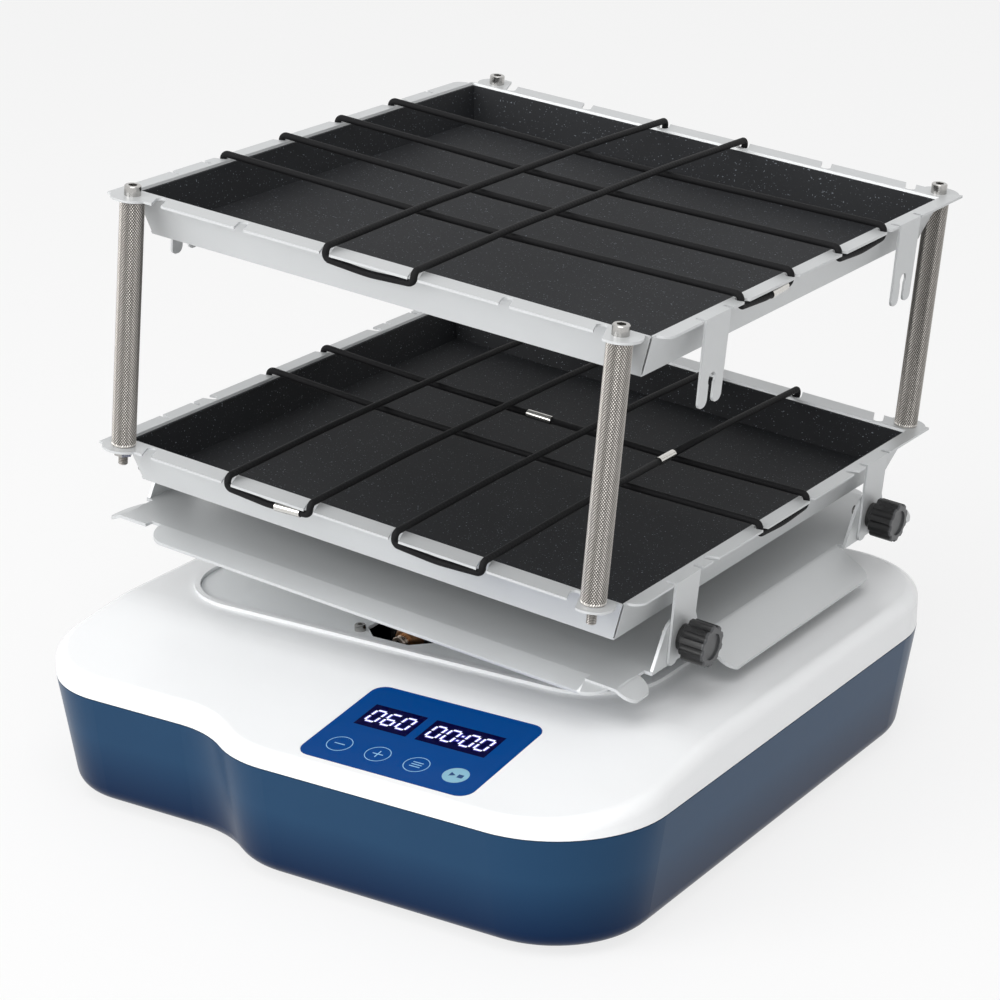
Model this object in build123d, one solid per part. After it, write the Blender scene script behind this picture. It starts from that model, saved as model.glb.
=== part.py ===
from build123d import *
from math import atan, cos, degrees, pi, radians, sin, tan
import os

# Two-tier rocking shaker for the lab bench, in millimetres.
# The origin lies on the bench under the rocking axis: +X is right, +Y is back, +Z is up.
# The rocking axis runs along Y, and the platform stands at the end of its stroke, right side down.

# Base outline, as distances from the rocking axis
base_left = 193
base_right = 233
base_front = 275
base_back = 169
front_step = 24
step_start = -67
step_end = 10
front_left_radius = 60
corner_radius = 72

# Base heights and walls
foot_height = 5
deck_height = 102
cover_rise = 25
seam_height = deck_height - cover_rise
seam_gap = 0.6
wall = 3
wall_draft = 11.5
housing_edge_radius = 12
shoulder_radius = 8
console_fold = -152
console_fall = 15
console_front_height = deck_height - console_fall
console_bend_radius = 150
tongue_height = 4
tongue_thickness = 1.8

# Deck plate and its raised lip
deck_half_x = 163
deck_half_y = 136
deck_corner_radius = 45
deck_sheet = 2
lip_width = 4
lip_height = 2.2
ledge_width = 8
ledge_thickness = 4
cutout_left = -26
cutout_right = 22
cutout_front = -128
cutout_back = -82
cutout_chamfer = 11

# Rocking pivot
axis_drop = 4
axis_height = deck_height - axis_drop
rest_tilt = 5.5
pin_radius = 6
pin_thread = 16
bushing_wall = 2.5
bushing_flange_radius = 12
bushing_flange = 2
arm_front = -106
arm_thickness = 8
arm_hub_radius = 16
arm_web_width = 60
arm_flange_width = 90
arm_flange_depth = 28
washer_radius = 14
washer_thickness = 2
washer_play = 0.1
collar_length = 7
collar_front_radius = 6.5
collar_back_radius = 10
pedestal_gap = 1
flange_thickness = 6
flush_drop = 0.2
pedestal_thickness = 8
pedestal_foot_width = 110
pedestal_foot_depth = 34

# Drive
lever_half_width = 17
lever_past_crank = 12
lever_corner_radius = 4
crank_disc_radius = 18
crank_disc_thickness = 6
crank_pin_radius = 2.5
crank_bearing_radius = 8
crank_bearing_width = 5
slot_side_play = 1.3
window_play = 2
motor_shaft_radius = 4
gearbox_side = 60
gearbox_rise = 7
gearbox_length = 40
gearbox_corner_radius = 5
motor_radius = 28
motor_length = 70
motor_cap = 4
motor_bolt_offset = 23
shaft_inset = 3
disc_inset = 1.5

# Power supply beside the drive
supply_x = -100
supply_y = -95
supply_width = 56
supply_length = 110
supply_height = 33
supply_corner_radius = 3
supply_foot = 3
supply_foot_length = 10
supply_foot_inset = 5

# Chassis and feet
foot_inset = 58
foot_radius = 14
foot_web = 2
chassis_margin = 20
chassis_sheet = 3
boss_radius = 7
boss_height = 8
standoff_radius = 4.5
standoff_thread = 14
cover_post_radius = 5
cover_post_x = 100
console_post_x = 150

# Fasteners: shank radius, head radius and head height by thread size
m4_radius = 2
m4_head_radius = 3.5
m4_head = 4
m5_radius = 2.5
m5_head_radius = 4.5
m5_head = 2.7
m6_radius = 3
m6_head_radius = 5
m6_head = 6
m6_nut_across_flats = 10
m6_nut = 5
hex_key_m4 = 3
hex_key_m5 = 3
hex_key_m6 = 5
thread_hold = 8
screw_chamfer = 0.5
screw_inset = 9
thread_end_gap = 2

# Control panel on the console
panel_center_x = 84
panel_center_y = -222
panel_width = 116
panel_depth = 85
panel_corner_radius = 9
panel_film = 0.8
small_window_width = 36
large_window_width = 47
window_depth = 24
window_gap = 6
window_offset_x = -1.5
window_offset_y = 10.5
window_ledge = 2
board_margin = 4
board_sheet = 1.6
board_drop = 14
board_post_radius = 3.5
board_post_inset = 9

# Carrier under the lower tray
carrier_top = 48
carrier_sheet = 2
carrier_corner_radius = 16
bend_setback = 5
bend_radius = 5
bend_overlap = 20
side_lip_length = 180
side_lip_reach = 21.7
side_lip_drop = 14
side_lip_round = 9
front_lip_setback = 4
front_lip_reach = 12
front_lip_drop = 4.5
front_lip_round = 14
front_lip_left_gap = 32
front_lip_right_gap = 10
lobe_width = 25
lobe_past_edge = 2
ear_root = 58
ear_top_width = 30
ear_round = 11
ear_above_stud = 14
stud_above_carrier = 13
leg_spacing = 121
leg_gap = 0.2

# Trays
tray_center_y = 10
lower_flange_height = 99
tier_spacing = 157
tray_sheet = 1.5
tray_depth = 27
rim_half_x = 175
rim_half_y = 180
wall_inset = 8.5
corner_slit = 0.9
side_flange_width = 9
end_flange_width = 15
flange_end_gap = 3
flange_end_past = 16
post_left_inset = 5
post_right_inset = 13
post_offset = 10
post_tab_radius = 13
post_radius = 7.5
post_chamfer = 0.8
notch_width = 6.4
notch_pitch = 60
notch_slant = 22
notch_floor = 2.2
leg_width = 28
leg_tip_width = 26
leg_below_stud = 15
leg_tip_radius = 4
leg_slot_width = 6.5
leg_eye_radius = 4.2
relief_width = 3
relief_depth = 6
liner_sheet = 1.5
liner_gap = 0.25
liner_drop = 1.5

# Clamp knobs
knob_radius = 12.5
knob_length = 16
knob_hub_radius = 8
knob_hub_length = 4
knob_flutes = 10
flute_radius = 2.6
flute_offset = 0.45
knob_chamfer = 0.6
knob_rim = 4.5
knob_dish = 1.2
knob_thread = 14
knob_play = 0.1
stud_tail = 8

# Elastic loops
cord_radius = 2.5
cord_lift = 0.35
crossing_drop = 2.8
crossing_lift = 2.6
cord_edge_gap = 1
run_sag = 1.8
bend_share = 0.2
turn_share = 0.48
ferrule_radius = 2.75
ferrule_length = 18

# Power entry on the back
inlet_x = -60
inlet_width = 28
inlet_height = 21
inlet_depth = 26
switch_x = -20
switch_width = 13
switch_height = 19
entry_height = 42
bezel_margin = 3
bezel_thickness = 2
socket_depth = 18
socket_side_wall = 2
socket_end_wall = 2.5
contact_width = 2
contact_height = 4
contact_spacing = 7
contact_length = 14
switch_depth = 18
switch_wall = 1.5
switch_floor = 6
rocker_play = 0.7
rocker_pressed = 2.8
rocker_raised = 4.2
rocker_middle = 1.2
rocker_underside = 3
rocker_keel = 6

# Running and fitting clearances
shaft_play = 0.03
fit_play = 0.02
hole_play = 0.3
plate_gap = 0.4

os.makedirs("parts", exist_ok=True)

deck_bottom = deck_height - deck_sheet
floor_top = foot_height + wall
chassis_top = floor_top + chassis_sheet
crank_height = chassis_top + gearbox_rise + gearbox_side / 2
lever_length = axis_height - crank_height
lever_end = lever_length + lever_past_crank
crank_radius = lever_length * sin(radians(rest_tilt))
side_flange_x = rim_half_x + side_flange_width
end_flange_y = rim_half_y + end_flange_width
post_x_left = post_left_inset - rim_half_x
post_x_right = rim_half_x - post_right_inset
post_y = rim_half_y + post_offset
carrier_half_x = side_flange_x - tray_sheet - leg_gap
carrier_half_y = rim_half_y
stud_height = carrier_top + stud_above_carrier
leg_slot_center = lower_flange_height - stud_height
leg_length = leg_slot_center + leg_below_stud
cord_setback = cord_radius + cord_edge_gap
cover_bottom = seam_height + seam_gap
console_angle = degrees(atan((deck_height - console_front_height) / (base_front + console_fold)))
bottom_centered = (Align.CENTER, Align.CENTER, Align.MIN)


def save(name, *shapes):
    """Write one named piece, or a group of like pieces, as its own STEP file."""
    solids = [solid for shape in shapes for solid in shape.solids()]
    export_step(Compound(children=solids), f"parts/{name}.step")


def block(x_range, y_range, z_range):
    """Box between two limits along each axis."""
    sizes = [high - low for low, high in (x_range, y_range, z_range)]
    middle = [(low + high) / 2 for low, high in (x_range, y_range, z_range)]
    return Pos(*middle) * Box(*sizes)


def rod(start, direction, radius, length):
    """Cylinder that begins at a point and runs along a direction."""
    return Plane(origin=start, z_dir=direction) * Cylinder(radius, length, align=bottom_centered)


def tube(start, direction, radius, bore, length):
    """Cylinder with a bore right through it."""
    return rod(start, direction, radius, length) - rod(start, direction, bore, length)


def cap_screw(start, direction, shank_radius, head_radius, head_height, shank_length, key):
    """Socket-head screw whose head stands on a point and whose shank runs along a direction."""
    along = Vector(*direction).normalized()
    seat = Plane(origin=start, z_dir=along)
    top = seat * Pos(0, 0, -head_height)
    head = top * Cylinder(head_radius, head_height, align=bottom_centered)
    circles = head.edges().filter_by(GeomType.CIRCLE)
    rim = circles.sort_by(lambda edge: (edge.center() - Vector(*start)).dot(along))[0]
    head = chamfer(rim, screw_chamfer)
    socket = top * extrude(RegularPolygon(key / 2, 6, major_radius=False), head_height / 2)
    shank = seat * Cylinder(shank_radius, shank_length, align=bottom_centered)
    return head - socket + shank


def m4_screw(start, direction, length):
    return cap_screw(start, direction, m4_radius, m4_head_radius, m4_head, length, hex_key_m4)


def m5_screw(start, direction, length):
    return cap_screw(start, direction, m5_radius, m5_head_radius, m5_head, length, hex_key_m5)


def m6_screw(start, direction, length):
    return cap_screw(start, direction, m6_radius, m6_head_radius, m6_head, length, hex_key_m6)


def m6_hex_nut(start, direction, bore):
    """Hexagon nut that begins at a point and runs along a direction."""
    hexagon = RegularPolygon(m6_nut_across_flats / 2, 6, major_radius=False)
    body = Plane(origin=start, z_dir=direction) * extrude(hexagon, m6_nut)
    return body - rod(start, direction, bore, m6_nut)


# Base outline: straight sides, four round corners and an S-shaped step in the front.
def base_outline(inset):
    """Base outline drawn in by an inset, as a face in the XY plane."""
    left = inset - base_left
    right = base_right - inset
    back = base_back - inset
    front_right = inset - base_front
    front_left = front_right + front_step
    small = front_left_radius - inset
    large = corner_radius - inset
    run = step_end - step_start
    turn = 2 * atan(front_step / run)
    step_radius = run / (2 * sin(turn))
    front_a = Line((left + small, front_left), (step_start, front_left))
    step_a = JernArc(front_a @ 1, (1, 0), step_radius + inset, -degrees(turn))
    step_b = JernArc(step_a @ 1, step_a % 1, step_radius - inset, degrees(turn))
    front_b = Line(step_b @ 1, (right - large, front_right))
    corner_a = JernArc(front_b @ 1, (1, 0), large, 90)
    side_right = Line(corner_a @ 1, (right, back - large))
    corner_b = JernArc(side_right @ 1, (0, 1), large, 90)
    side_back = Line(corner_b @ 1, (left + large, back))
    corner_c = JernArc(side_back @ 1, (-1, 0), large, 90)
    side_left = Line(corner_c @ 1, (left, front_left + small))
    corner_d = JernArc(side_left @ 1, (0, -1), small, 90)
    front_edge = [front_a, step_a, step_b, front_b]
    return make_face([*front_edge, corner_a, side_right, corner_b, side_back, corner_c, side_left, corner_d])


# Lower housing: drafted tub with rounded bottom edge, screw bosses and a tongue inside the seam.
def housing_block(inset, floor, edge_radius):
    """Solid tub form, drawn in by an inset all round and standing on a floor height."""
    full_height = seam_height - foot_height
    draft = wall_draft * (seam_height - floor) / full_height
    top = Pos(0, 0, seam_height) * base_outline(inset)
    bottom = Pos(0, 0, floor) * base_outline(inset + draft)
    body = loft([top, bottom], ruled=True)
    rim = body.faces().sort_by(Axis.Z)[0].edges()
    return fillet(rim, edge_radius)


foot_xs = (foot_inset - base_left, base_right - foot_inset)
foot_ys = (foot_inset + front_step - base_front, base_back - foot_inset)
foot_points = [(x, y) for x in foot_xs for y in foot_ys]
ledge_middle = lip_width / 2 - ledge_width / 2
cover_post_points = [(x, foot_ys[0]) for x in (-cover_post_x, console_post_x)]
cover_post_points += [(side * cover_post_x, deck_half_y + ledge_middle) for side in (-1, 1)]
cover_post_points += [(side * (deck_half_x + ledge_middle), 0) for side in (-1, 1)]
boss_top = floor_top + boss_height

wall_slope = atan(wall_draft / (seam_height - foot_height))
entry_y = base_back - (seam_height - entry_height) * tan(wall_slope)
entry_normal = Vector(0, cos(wall_slope), -sin(wall_slope))


def entry_plane(x):
    """Plane on the drafted back wall: local X runs left, local Y up the wall, Z out of it."""
    return Plane(origin=(x, entry_y, entry_height), x_dir=(-1, 0, 0), z_dir=entry_normal)


def entry_opening(x, width, height):
    """Cutter for a rectangular opening through the back wall."""
    return entry_plane(x) * Box(width, height, 6 * wall)


def build_housing():
    body = housing_block(0, foot_height, housing_edge_radius)
    body -= housing_block(wall, floor_top, housing_edge_radius - wall)
    tongue_low = seam_height - 3 * tongue_height
    tongue = base_outline(wall + plate_gap) - base_outline(wall + plate_gap + tongue_thickness)
    ring = Pos(0, 0, tongue_low) * extrude(tongue, seam_height + tongue_height - tongue_low)
    body += ring
    for x, y in cover_post_points:
        body += rod((x, y, foot_height), (0, 0, 1), boss_radius, wall + boss_height)
        body -= rod((x, y, foot_height), (0, 0, 1), m4_head_radius + hole_play, wall + m4_head)
        body -= rod((x, y, foot_height), (0, 0, 1), m4_radius + hole_play, wall + boss_height)
    for x, y in foot_points:
        body -= rod((x, y, foot_height), (0, 0, 1), m5_radius + hole_play, wall)
    body -= entry_opening(inlet_x, inlet_width + 2 * hole_play, inlet_height + 2 * hole_play)
    body -= entry_opening(switch_x, switch_width + 2 * hole_play, switch_height + 2 * hole_play)
    return body


# Top cover: soft shoulders, console sloping to the front, and a lip round the deck recess.
def deck_outline(margin):
    """Rounded deck outline, grown by a margin."""
    return RectangleRounded(
        2 * (deck_half_x + margin), 2 * (deck_half_y + margin), deck_corner_radius + margin)


def cover_block(inset, radius):
    """Solid form of the cover, drawn in by an inset on its sides and top."""
    top = deck_height - inset
    front_top = console_front_height - inset
    far_front = -base_front
    profile = make_face(FilletPolyline(
        (base_back, cover_bottom), (base_back, top), (console_fold, top), (far_front, front_top),
        (far_front, cover_bottom), radius=[0, console_bend_radius, 0]) + Line(
        (far_front, cover_bottom), (base_back, cover_bottom)))
    half_width = base_left + base_right
    side_view = extrude(Plane.YZ * profile, half_width, both=True)
    plan = Pos(0, 0, cover_bottom) * extrude(base_outline(inset), deck_height)
    body = plan & side_view
    tops = body.faces().filter_by(lambda face: face.normal_at().Z > 0.9)
    border = [edge for edge in tops.edges() if len([f for f in tops if edge in f.edges()]) == 1]
    return fillet(border, radius)


def panel_plane():
    """Plane on the console face at the middle of the control panel, Z out of the face."""
    drop = (console_fold - panel_center_y) * tan(radians(console_angle))
    tilt = radians(console_angle)
    return Plane(
        origin=(panel_center_x, panel_center_y, deck_height - drop), x_dir=(1, 0, 0),
        z_dir=(0, -sin(tilt), cos(tilt)))


windows_half = (small_window_width + window_gap + large_window_width) / 2
windows = [
    (window_offset_x - windows_half + small_window_width / 2, small_window_width),
    (window_offset_x + windows_half - large_window_width / 2, large_window_width)]
board_mounts = [
    (x * (panel_width / 2 - board_post_inset), y * (panel_depth / 2 - board_post_inset))
    for x in (-1, 1) for y in (-1, 1)]


def build_cover():
    outer = cover_block(0, shoulder_radius)
    body = outer - cover_block(wall, shoulder_radius - wall)
    inside_seam = base_outline(wall_draft + wall)
    outer_to_deck = outer + Pos(0, 0, boss_top) * extrude(inside_seam, cover_bottom - boss_top + wall)
    ledge_low = deck_bottom - ledge_thickness
    rim = deck_outline(lip_width) - deck_outline(-ledge_width)
    body += Pos(0, 0, ledge_low) * extrude(rim, deck_height + lip_height - ledge_low)
    for x, y in cover_post_points:
        post = rod((x, y, boss_top), (0, 0, 1), cover_post_radius, deck_bottom - boss_top)
        body += post & outer_to_deck
        body -= rod((x, y, boss_top), (0, 0, 1), m4_radius + fit_play, 2 * boss_height)
    body -= Pos(0, 0, deck_bottom) * extrude(deck_outline(plate_gap), deck_height)
    body -= Pos(0, 0, ledge_low - wall) * extrude(deck_outline(-ledge_width), deck_height)
    for x, y in board_mounts:
        body += panel_plane() * Pos(x, y, -board_drop) * Cylinder(
            board_post_radius, board_drop - wall / 2, align=bottom_centered)
    bed = RectangleRounded(panel_width + plate_gap, panel_depth + plate_gap, panel_corner_radius)
    body -= panel_plane() * Pos(0, 0, -panel_film) * extrude(bed, wall)
    for x, width in windows:
        body -= panel_plane() * Pos(x, window_offset_y) * Box(
            width - 2 * window_ledge, window_depth - 2 * window_ledge, 4 * wall)
    return body


# Deck plate with one cut-out at each end of the rocking axis.
def cutout_face():
    """Front cut-out of the deck, with chamfered front corners."""
    return make_face(Polyline(
        (cutout_left, cutout_back), (cutout_left, cutout_front + cutout_chamfer),
        (cutout_left + cutout_chamfer, cutout_front), (cutout_right - cutout_chamfer, cutout_front),
        (cutout_right, cutout_front + cutout_chamfer), (cutout_right, cutout_back), close=True))


deck_screw_x = cutout_left - 1
deck_screw_y = cutout_front + 4
deck_screw_points = [(deck_screw_x, deck_screw_y), (-deck_screw_x, -deck_screw_y)]


def build_deck_plate():
    body = Pos(0, 0, deck_bottom) * extrude(deck_outline(0), deck_sheet)
    opening = Pos(0, 0, deck_bottom) * extrude(cutout_face(), deck_sheet)
    body -= opening
    body -= Rot(0, 0, 180) * opening
    for x, y in deck_screw_points:
        body -= rod((x, y, deck_bottom), (0, 0, 1), m4_radius + hole_play, deck_sheet)
    return body


def build_chassis():
    width = foot_xs[1] - foot_xs[0] + 2 * chassis_margin
    depth = foot_ys[1] - foot_ys[0] + 2 * chassis_margin
    center = Pos(sum(foot_xs) / 2, sum(foot_ys) / 2, floor_top)
    body = center * extrude(RectangleRounded(width, depth, chassis_margin), chassis_sheet)
    for x, y in cover_post_points:
        body -= rod((x, y, floor_top), (0, 0, 1), boss_radius + plate_gap, chassis_sheet)
    for x, y in foot_points:
        body -= rod((x, y, floor_top), (0, 0, 1), m5_radius + fit_play, chassis_sheet)
    return body


def build_foot(x, y):
    foot = Pos(x, y, 0) * Cone(foot_radius - 1, foot_radius, foot_height, align=bottom_centered)
    foot -= rod((x, y, 0), (0, 0, 1), m5_head_radius + hole_play, foot_height - foot_web)
    return foot - rod((x, y, 0), (0, 0, 1), m5_radius + hole_play, foot_height)


def build_deck_standoff(x, y):
    post = Pos(x, y, chassis_top) * extrude(RegularPolygon(standoff_radius, 6), deck_bottom - chassis_top)
    thread_start = (x, y, deck_bottom - standoff_thread)
    return post - rod(thread_start, (0, 0, 1), m4_radius + fit_play, standoff_thread)


save("base_housing", build_housing())
save("top_cover", build_cover())
save("deck_plate", build_deck_plate())
save("chassis_plate", build_chassis())
save("rubber_feet", *[build_foot(x, y) for x, y in foot_points])
foot_grip = foot_web + wall + chassis_sheet
save("foot_screws", *[
    m5_screw((x, y, foot_height - foot_web), (0, 0, 1), foot_grip) for x, y in foot_points])
save("cover_screws", *[
    m4_screw((x, y, foot_height + m4_head), (0, 0, 1), wall + boss_height + thread_hold - m4_head)
    for x, y in cover_post_points])
save("deck_standoffs", *[build_deck_standoff(x, y) for x, y in deck_screw_points])
save("deck_screws", *[
    m4_screw((x, y, deck_height), (0, 0, -1), deck_sheet + thread_hold) for x, y in deck_screw_points])


# Control panel: glossy film let into the console, two windows, and the board under them.
def build_panel():
    film = panel_plane() * Pos(0, 0, -panel_film) * extrude(
        RectangleRounded(panel_width, panel_depth, panel_corner_radius), panel_film)
    for x, width in windows:
        film -= panel_plane() * Pos(x, window_offset_y) * Box(width, window_depth, 4 * panel_film)
    return film


def build_window(x, width):
    size = (width - plate_gap / 2, window_depth - plate_gap / 2, panel_film)
    return panel_plane() * Pos(x, window_offset_y, -panel_film / 2) * Box(*size)


def build_display(x, width):
    depth = board_drop - wall - hole_play
    return panel_plane() * Pos(x, window_offset_y, -board_drop + depth / 2) * Box(
        width - 3 * window_ledge, window_depth - 3 * window_ledge, depth)


def build_board():
    sheet = Rectangle(panel_width - 2 * board_margin, panel_depth - 2 * board_margin)
    return panel_plane() * Pos(0, 0, -board_drop - board_sheet) * extrude(sheet, board_sheet)


save("control_panel", build_panel())
save("display_windows", *[build_window(x, width) for x, width in windows])
save("display_modules", *[build_display(x, width) for x, width in windows])
save("control_board", build_board())


# Power entry on the back wall, with its bezel and a rocker switch that tips about X.
def bezel(plane, width, height):
    """Flat bezel on the wall, a margin wider than its opening all round."""
    outer_width = width + 2 * bezel_margin
    outer_height = height + 2 * bezel_margin
    return plane * Box(outer_width, outer_height, bezel_thickness, align=bottom_centered)


def box_behind(plane, width, height, depth):
    """Box that runs back from the wall plane by a depth."""
    return plane * Pos(0, 0, -depth) * Box(width, height, depth, align=bottom_centered)


def build_inlet():
    plane = entry_plane(inlet_x)
    body = bezel(plane, inlet_width, inlet_height)
    body += box_behind(plane, inlet_width, inlet_height, inlet_depth)
    socket = plane * Pos(0, 0, bezel_thickness - socket_depth)
    socket_width = inlet_width - 2 * socket_side_wall
    socket_height = inlet_height - 2 * socket_end_wall
    body -= socket * Box(socket_width, socket_height, socket_depth, align=bottom_centered)
    for side in (-1, 0, 1):
        rise = contact_width if side == 0 else -contact_width
        body += socket * Pos(side * contact_spacing, rise, 0) * Box(
            contact_width, contact_height, contact_length, align=bottom_centered)
    return body


def build_switch_bezel():
    plane = entry_plane(switch_x)
    body = bezel(plane, switch_width, switch_height)
    body += box_behind(plane, switch_width, switch_height, switch_depth)
    room_width = switch_width - 2 * switch_wall
    room_height = switch_height - 2 * switch_wall
    return body - plane * Pos(0, 0, switch_floor - switch_depth) * Box(
        room_width, room_height, switch_depth, align=bottom_centered)


def build_rocker():
    """Rocker tipped about its hinge line, which lies on the wall plane."""
    half = switch_height / 2 - switch_wall - rocker_play
    width = switch_width - 2 * switch_wall - 2 * hole_play
    face = make_face(Polyline(
        (-half, -rocker_underside), (0, -rocker_keel), (half, -rocker_underside), (half, rocker_pressed),
        (0, rocker_middle), (-half, rocker_raised), close=True))
    plane = entry_plane(switch_x)
    section = Plane(origin=plane.origin - plane.x_dir * width / 2, x_dir=plane.y_dir, z_dir=plane.x_dir)
    return section * extrude(face, width)


save("power_inlet", build_inlet())
save("switch_bezel", build_switch_bezel())
save("power_switch", build_rocker())


# Pivots: a pedestal with a shoulder pin at each end of the rocking axis, seen through the cut-outs.
# The front set is modelled and the rear set is the same pieces turned half way round the Z axis.
half_turn = Rot(0, 0, 180)
arm_back = arm_front + arm_thickness
pedestal_front = arm_back + pedestal_gap
pedestal_back = pedestal_front + pedestal_thickness
flange_front = arm_front - bushing_flange
washer_back = flange_front - washer_play
washer_front = washer_back - washer_thickness
collar_front = washer_front - collar_length
front = (0, -1, 0)
rearward = (0, 1, 0)


def build_pedestal(with_motor_window):
    """Upright plate with a foot flange: round head at the axis, wide at the chassis."""
    foot = Pos(0, chassis_top) * Rectangle(pedestal_foot_width, 0.02, align=(Align.CENTER, Align.MIN))
    head = Pos(0, axis_height) * Circle(arm_hub_radius)
    web = make_hull((foot + head).edges())
    back_plane = Plane(origin=(0, pedestal_back, 0), x_dir=(1, 0, 0), z_dir=front)
    upright = extrude(back_plane * web, pedestal_thickness)
    half = pedestal_foot_width / 2
    foot_y = (pedestal_front, pedestal_back + pedestal_foot_depth)
    flange = block((-half, half), foot_y, (chassis_top, chassis_top + flange_thickness))
    body = upright + flange
    body -= rod((0, pedestal_front, axis_height), rearward, pin_radius + fit_play, pedestal_thickness)
    if with_motor_window:
        window_radius = crank_disc_radius + window_play
        body -= rod((0, pedestal_front, crank_height), rearward, window_radius, pedestal_thickness)
        room = gearbox_side / 2 + pedestal_gap
        gearbox_y = (pedestal_back, foot_y[1])
        body -= block((-room, room), gearbox_y, (crank_height - room, deck_height))
        for x, z in motor_bolt_points:
            body -= rod((x, pedestal_front, z), rearward, m4_radius + hole_play, pedestal_thickness)
            body -= rod((x, pedestal_front, z), rearward, m4_head_radius + hole_play, m4_head + flush_drop)
    for x, y in pedestal_screw_points:
        body -= rod((x, y, chassis_top), (0, 0, 1), m5_radius + hole_play, flange_thickness)
    return body


motor_bolt_points = [
    (x * motor_bolt_offset, crank_height + z * motor_bolt_offset) for x in (-1, 1) for z in (-1, 1)]
pedestal_screw_points = [
    (x * (pedestal_foot_width / 2 - screw_inset), pedestal_back + pedestal_foot_depth - screw_inset)
    for x in (-1, 1)]


def build_pin():
    return rod((0, washer_back, axis_height), rearward, pin_radius, pedestal_back - washer_back) - rod(
        (0, washer_back, axis_height), rearward, m6_radius + fit_play, pin_thread)


def build_washer():
    start = (0, washer_front, axis_height)
    return tube(start, rearward, washer_radius, m6_radius + fit_play, washer_thickness)


def build_collar():
    cone = Plane(origin=(0, collar_front, axis_height), z_dir=rearward) * Cone(
        collar_front_radius, collar_back_radius, collar_length, align=bottom_centered)
    return cone - rod((0, collar_front, axis_height), rearward, m6_radius + fit_play, collar_length)


def build_pivot_bolt():
    length = washer_back - collar_front + pin_thread - thread_end_gap
    return m6_screw((0, collar_front, axis_height), rearward, length)


save("front_pedestal", build_pedestal(True))
save("rear_pedestal", half_turn * build_pedestal(False))
save("pivot_pins", build_pin(), half_turn * build_pin())
save("pivot_washers", build_washer(), half_turn * build_washer())
save("pivot_collars", build_collar(), half_turn * build_collar())
save("pivot_bolts", build_pivot_bolt(), half_turn * build_pivot_bolt())
flange_top = chassis_top + flange_thickness
pedestal_screws = [
    m5_screw((x, y, flange_top), (0, 0, -1), flange_thickness) for x, y in pedestal_screw_points]
save("pedestal_screws", *pedestal_screws, *[half_turn * screw for screw in pedestal_screws])


# Drive: gear motor behind the front pedestal, crank disc in its window, ball bearing on the crank pin.
# At rest the crank pin stands level with the crank axis, on the side that holds the lever at its end.
shaft_end = pedestal_front + shaft_inset
disc_front = pedestal_front + disc_inset


def build_gearbox():
    half = gearbox_side / 2
    gearbox_y = (pedestal_back, pedestal_back + gearbox_length)
    body = block((-half, half), gearbox_y, (crank_height - half, crank_height + half))
    body = fillet(body.edges().filter_by(Axis.Y), gearbox_corner_radius)
    for x, z in motor_bolt_points:
        body -= rod((x, pedestal_back, z), rearward, m4_radius + fit_play, thread_hold + thread_end_gap)
    return body


def build_motor():
    start = (0, pedestal_back + gearbox_length, crank_height)
    body = rod(start, rearward, motor_radius, motor_length)
    return body + rod(start, rearward, motor_radius / 3, motor_length + motor_cap)


def build_crank_disc():
    disc = rod((0, disc_front, crank_height), rearward, crank_disc_radius, crank_disc_thickness)
    bore_start = (0, shaft_end, crank_height)
    return disc - rod(bore_start, rearward, motor_shaft_radius + fit_play, crank_disc_thickness)


def build_motor_shaft():
    length = pedestal_back - shaft_end - washer_play
    return rod((0, shaft_end, crank_height), rearward, motor_shaft_radius, length)


crank_side = -1
crank_x = crank_side * crank_radius
bearing_front = arm_front + (arm_thickness - crank_bearing_width) / 2


def build_crank_pin():
    start = (crank_x, bearing_front - seam_gap, crank_height)
    return rod(start, rearward, crank_pin_radius, disc_front - bearing_front + seam_gap)


def build_crank_bearing():
    return tube(
        (crank_x, bearing_front, crank_height), rearward, crank_bearing_radius, crank_pin_radius + fit_play,
        crank_bearing_width)


save("gearbox", build_gearbox())
save("drive_motor", build_motor())
motor_screw_seat = pedestal_front + m4_head + flush_drop
motor_screw_length = pedestal_back - motor_screw_seat + thread_hold
save("motor_screws", *[
    m4_screw((x, motor_screw_seat, z), rearward, motor_screw_length) for x, z in motor_bolt_points])
save("motor_shaft", build_motor_shaft())
save("crank_disc", build_crank_disc())
save("crank_pin", build_crank_pin())
save("crank_bearing", build_crank_bearing())


def build_power_supply():
    body = Pos(supply_x, supply_y, chassis_top + supply_foot) * Box(
        supply_width, supply_length, supply_height, align=bottom_centered)
    body = fillet(body.edges().filter_by(Axis.Z), supply_corner_radius)
    foot_offset = supply_length / 2 - supply_foot_length / 2 - supply_foot_inset
    for side in (-1, 1):
        body += Pos(supply_x, supply_y + side * foot_offset, chassis_top) * Box(
            supply_width - 2 * supply_foot_inset, supply_foot_length, supply_foot, align=bottom_centered)
    return body


save("power_supply", build_power_supply())


# Platform frame: its origin lies on the rocking axis, and it is tilted to the rest position.
platform = Pos(0, 0, axis_height) * Rot(0, rest_tilt, 0)
carrier_bottom = carrier_top - carrier_sheet


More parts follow.
